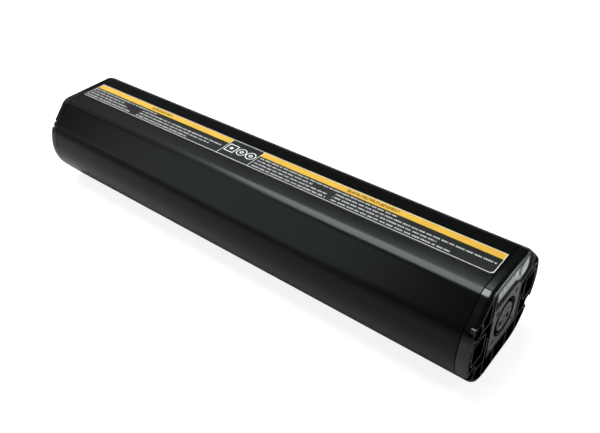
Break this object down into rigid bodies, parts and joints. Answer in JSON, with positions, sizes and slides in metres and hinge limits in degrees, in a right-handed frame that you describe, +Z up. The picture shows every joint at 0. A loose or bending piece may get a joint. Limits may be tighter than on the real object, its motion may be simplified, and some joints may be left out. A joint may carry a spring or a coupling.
{
  "type": "e-bike downtube battery",
  "caption": "Long battery pack with an angular aluminium housing, ribbed end caps, a round plug connector in a metal plate, a press button and a printed label.",
  "frame": {"origin": "centre of the bottom of the bounding box, on the flat bottom face and midway along the pack", "axes": "+X along the pack towards the connector end, +Z up from the flat bottom to the labelled top, +Y across the pack towards the button"},
  "size_m": [0.349, 0.0842, 0.0652],
  "materials": {
    "anodised_housing": "black anodised, satin",
    "label_print": "printed foil in amber, white and black",
    "cap_plastic": "fine moulded texture",
    "black_rubber": "matte",
    "zinc_steel": "zinc plated",
    "plate_metal": "bead blasted",
    "vent_plastic": "matte",
    "insert_plastic": "matte",
    "gold_contact": "gold plated",
    "panel_plastic": "silvery gloss",
    "clear_guide": "translucent",
    "dark_plastic": "matte",
    "switch_metal": "plain",
    "board_green": "solder mask",
    "light_chip": "clear",
    "cell_sleeve": "heat shrunk sleeve over a can",
    "nickel": "nickel strip",
    "insulation_paper": "pressed paper",
    "foam": "foam",
    "flex_orange": "flexible circuit",
    "spreader_metal": "plain",
    "capacitor_sleeve": "gloss",
    "socket_plastic": "matte",
    "lead_sleeve": "matte",
    "cable_sleeve": "matte"
  },
  "bodies": {
    "pack": {"housing": "anodised_housing", "label_foil": "label_print", "connector_end_cap": "cap_plastic", "far_end_cap": "cap_plastic", "connector_end_gasket": "black_rubber", "far_end_gasket": "black_rubber", "connector_seal": "black_rubber", "connector_end_screws": "zinc_steel", "far_end_screws": "zinc_steel", "mounting_plate_screws": "zinc_steel", "far_plate_screws": "zinc_steel", "connector_insert_screws": "zinc_steel", "indicator_board_screws": "zinc_steel", "main_board_screws": "zinc_steel", "heat_spreader_screws": "zinc_steel", "tie_rods": "zinc_steel", "tie_rod_nuts": "zinc_steel", "mounting_plate": "plate_metal", "far_plate": "plate_metal", "vent_plug": "vent_plastic", "connector_insert": "insert_plastic", "power_contacts": "gold_contact", "signal_contacts": "gold_contact", "power_terminals": "gold_contact", "button_panel": "panel_plastic", "light_guides": "clear_guide", "cell_holder_1": "dark_plastic", "cell_holder_2": "dark_plastic", "cell_holder_3": "dark_plastic", "cell_holder_4": "dark_plastic", "cell_holder_5": "dark_plastic", "cell_holder_6": "dark_plastic", "cell_holder_7": "dark_plastic", "cell_holder_8": "dark_plastic", "board_carrier": "dark_plastic", "power_transistors": "dark_plastic", "control_chips": "dark_plastic", "power_switch": "switch_metal", "indicator_board": "board_green", "main_board": "board_green", "indicator_lights": "light_chip", "cell_bank_1": "cell_sleeve", "cell_bank_2": "cell_sleeve", "cell_bank_3": "cell_sleeve", "cell_bank_4": "cell_sleeve", "nickel_links": "nickel", "insulating_sheets": "insulation_paper", "bay_liner": "insulation_paper", "end_pad": "foam", "sense_harness": "flex_orange", "heat_spreader": "spreader_metal", "buffer_capacitors": "capacitor_sleeve", "main_fuse": "socket_plastic", "board_sockets": "socket_plastic", "power_leads": "lead_sleeve", "signal_cable": "cable_sleeve", "indicator_cable": "cable_sleeve"},
    "button": {"power_button": "panel_plastic", "switch_plunger": "dark_plastic"}
  },
  "joints": [
    {"name": "button_press", "type": "slide", "parent": "pack", "child": "button", "axis": [-1, 0, 0], "range_m": [0, 0.0006], "stiffness_N_per_m": 3000, "springref_m": -0.0002}
  ]
}
